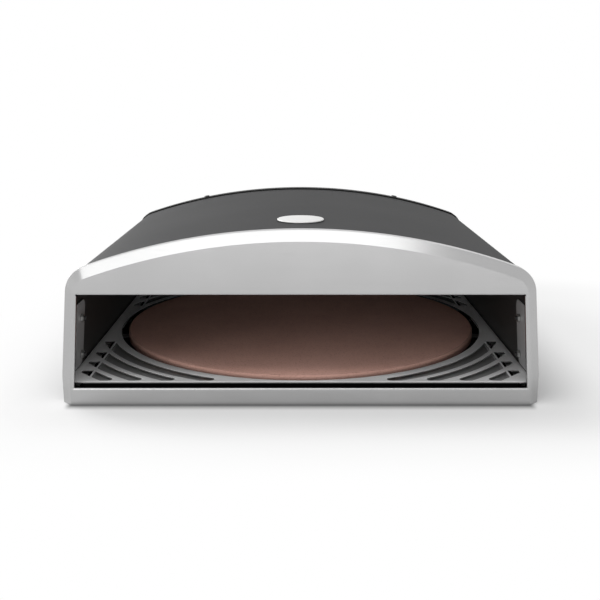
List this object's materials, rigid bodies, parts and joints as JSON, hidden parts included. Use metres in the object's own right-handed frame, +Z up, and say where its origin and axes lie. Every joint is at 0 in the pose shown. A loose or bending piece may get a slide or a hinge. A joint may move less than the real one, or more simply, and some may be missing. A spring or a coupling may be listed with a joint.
{
  "type": "grill-top pizza oven",
  "caption": "Low arched grill-top pizza oven: stainless front frame with a wide open mouth, painted hood, slotted steel plate and a round lift-out stone.",
  "frame": {"origin": "middle of the footprint, on the surface that the oven stands on", "axes": "+Z up, -Y out of the open mouth at the front, +X to the right seen from the front; the left and right halves mirror each other across X = 0"},
  "size_m": [0.4, 0.389, 0.1474],
  "materials": {
    "fascia_steel": "satin stainless with a fine brush",
    "hood_paint": "satin charcoal high-heat paint",
    "rear_paint": "satin charcoal high-heat paint",
    "rail_paint": "satin black high-heat paint",
    "gusset_paint": "satin black high-heat paint",
    "rivet_steel": "plain steel",
    "plate_steel": "satin sheet steel",
    "baffle_steel": "plain sheet steel",
    "baking_stone": "matt reddish-brown fired stone",
    "bracket_steel": "satin sheet",
    "black_screw": "black oxide",
    "bright_nut": "bright zinc",
    "bolt_steel": "plain steel",
    "badge_metal": "pale satin metal, blank",
    "push_nut_steel": "plain steel"
  },
  "bodies": {
    "oven": {"front_fascia": "fascia_steel", "hood_shell": "hood_paint", "rear_panel": "rear_paint", "base_rail_left": "rail_paint", "base_rail_right": "rail_paint", "base_rail_front": "rail_paint", "base_rail_rear": "rail_paint", "corner_gusset_front_left": "gusset_paint", "corner_gusset_front_right": "gusset_paint", "corner_gusset_rear_left": "gusset_paint", "corner_gusset_rear_right": "gusset_paint", "corner_rivet_1": "rivet_steel", "corner_rivet_2": "rivet_steel", "corner_rivet_3": "rivet_steel", "corner_rivet_4": "rivet_steel", "corner_rivet_5": "rivet_steel", "corner_rivet_6": "rivet_steel", "corner_rivet_7": "rivet_steel", "corner_rivet_8": "rivet_steel", "heat_plate": "plate_steel", "slot_baffle_front_left": "baffle_steel", "slot_baffle_front_right": "baffle_steel", "slot_baffle_rear_left": "baffle_steel", "slot_baffle_rear_right": "baffle_steel", "fascia_bracket_left": "bracket_steel", "fascia_bracket_right": "bracket_steel", "bracket_screw_left_1": "black_screw", "bracket_screw_left_2": "black_screw", "bracket_screw_right_1": "black_screw", "bracket_screw_right_2": "black_screw", "hood_screw_left_1": "black_screw", "hood_screw_left_2": "black_screw", "hood_screw_left_3": "black_screw", "hood_screw_right_1": "black_screw", "hood_screw_right_2": "black_screw", "hood_screw_right_3": "black_screw", "rear_flange_screw_1": "black_screw", "rear_flange_screw_2": "black_screw", "rear_flange_screw_3": "black_screw", "rear_flange_screw_4": "black_screw", "rear_flange_screw_5": "black_screw", "rear_flange_screw_6": "black_screw", "rear_skirt_screw_1": "black_screw", "rear_skirt_screw_2": "black_screw", "rear_skirt_screw_3": "black_screw", "bracket_nut_left_1": "bright_nut", "bracket_nut_left_2": "bright_nut", "bracket_nut_right_1": "bright_nut", "bracket_nut_right_2": "bright_nut", "plate_bolt_1": "bolt_steel", "plate_bolt_2": "bolt_steel", "plate_bolt_3": "bolt_steel", "plate_bolt_4": "bolt_steel", "badge_disc": "badge_metal", "badge_push_nut_1": "push_nut_steel", "badge_push_nut_2": "push_nut_steel"},
    "stone": {"pizza_stone": "baking_stone"}
  },
  "joints": [
    {"name": "stone_lift", "type": "slide", "parent": "oven", "child": "stone", "axis": [0, 0, 1], "range_m": [0, 0.026]}
  ]
}
